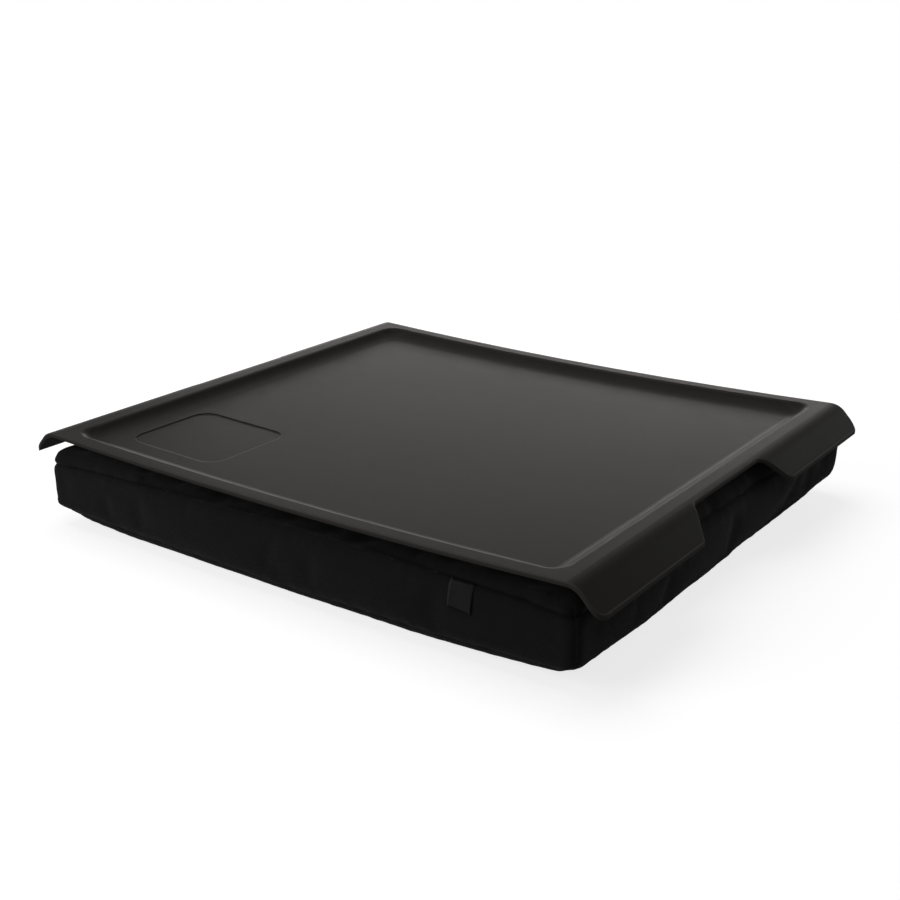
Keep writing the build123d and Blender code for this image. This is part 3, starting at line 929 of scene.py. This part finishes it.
def make_floor_paint():
    finish = Finish("white_floor")
    seen = finish.node("ShaderNodeLightPath", outputs=("Is Camera Ray",))
    paint = finish.node("ShaderNodeBsdfDiffuse", None, {"Color": tone(170)})
    glow = finish.node("ShaderNodeEmission", None, {"Color": (1, 1, 1, 1), "Strength": seen * 0.78})
    lit = finish.node("ShaderNodeAddShader", None, {0: paint, 1: glow})
    gone = finish.node("ShaderNodeBsdfTransparent")
    away = finish.node("ShaderNodeVectorMath", {"operation": "LENGTH"}, {0: finish.place}, ("Value",))
    faded = finish.node("ShaderNodeMixShader", None, {0: away.rise(0.5, 1.0), 1: lit, 2: gone})
    finish.node("ShaderNodeOutputMaterial", None, {"Surface": faded}, ())
    return finish.material


def make_floor():
    half = 1.5
    corners = [(-half, -half, 0), (half, -half, 0), (half, half, 0), (-half, half, 0)]
    floor = mesh_object("floor", corners, [(0, 1, 2, 3)])
    floor.data.materials.append(make_floor_paint())


def light_room(level):
    """White surroundings for the camera and in reflections, and a plain level for what they light."""
    world = bpy.data.worlds.new("room")
    world.use_nodes = True
    bpy.context.scene.world = world
    world.node_tree.nodes.clear()
    room = Nodes(world.node_tree)
    lighting = room.node("ShaderNodeLightPath", outputs=("Is Diffuse Ray",))
    strength = room.node("ShaderNodeMapRange", None, {"Value": lighting, "To Min": 1.0, "To Max": level})
    air = room.node("ShaderNodeBackground", None, {"Color": (1, 1, 1, 1), "Strength": strength})
    room.node("ShaderNodeOutputWorld", None, {"Surface": air}, ())


def soft_box(name, place, target, width, height, power, colour=(1, 1, 1)):
    lamp = bpy.data.lights.new(name, "AREA")
    lamp.color = colour
    lamp.shape = "RECTANGLE"
    lamp.size = width
    lamp.size_y = height
    lamp.energy = power
    made = bpy.data.objects.new(name, lamp)
    bpy.context.scene.collection.objects.link(made)
    made.location = place
    made.rotation_euler = (Vector(target) - Vector(place)).to_track_quat("-Z", "Y").to_euler()


def place_camera():
    azimuth, elevation, roll = (math.radians(angle) for angle in (35.62, 19.73, -0.09))
    distance, shift_right, shift_up = 978.32 * MM, -3.41 * MM, -24.15 * MM
    target = Vector((0, 0, 70.2 * MM))
    back = Vector((math.sin(azimuth) * math.cos(elevation), -math.cos(azimuth) * math.cos(elevation),
                   math.sin(elevation)))
    right = Vector((math.cos(azimuth), math.sin(azimuth), 0))
    up = back.cross(right)
    right, up = right * math.cos(roll) + up * math.sin(roll), up * math.cos(roll) - right * math.sin(roll)
    camera = bpy.data.cameras.new("camera")
    camera.sensor_width = 36
    camera.lens = 54.27
    camera.clip_end = 50
    made = bpy.data.objects.new("camera", camera)
    bpy.context.scene.collection.objects.link(made)
    turned = Matrix((right, up, back)).transposed().to_4x4()
    place = target + back * distance + right * shift_right + up * shift_up
    made.matrix_world = Matrix.Translation(place) @ turned
    bpy.context.scene.camera = made


make_floor()
light_room(0.11)
soft_box("top_box", (-0.5, 0.2, 1.8), (0, 0, 0), width=1.6, height=1.6, power=18)
soft_box("front_box", (-1.2, -1.6, 1.0), (0, 0, 0), width=1.2, height=1.0, power=15)
soft_box("back_box", (-1.05, 1.9, 0.4), (0, 0, 0.03), width=1.9, height=0.3, power=9.5,
         colour=(1, 0.93, 0.93))
soft_box("right_box", (1.1, 1.9, 0.8), (0, 0, 0), width=0.9, height=0.6, power=3)
place_camera()
bpy.context.scene.view_settings.view_transform = "Standard"
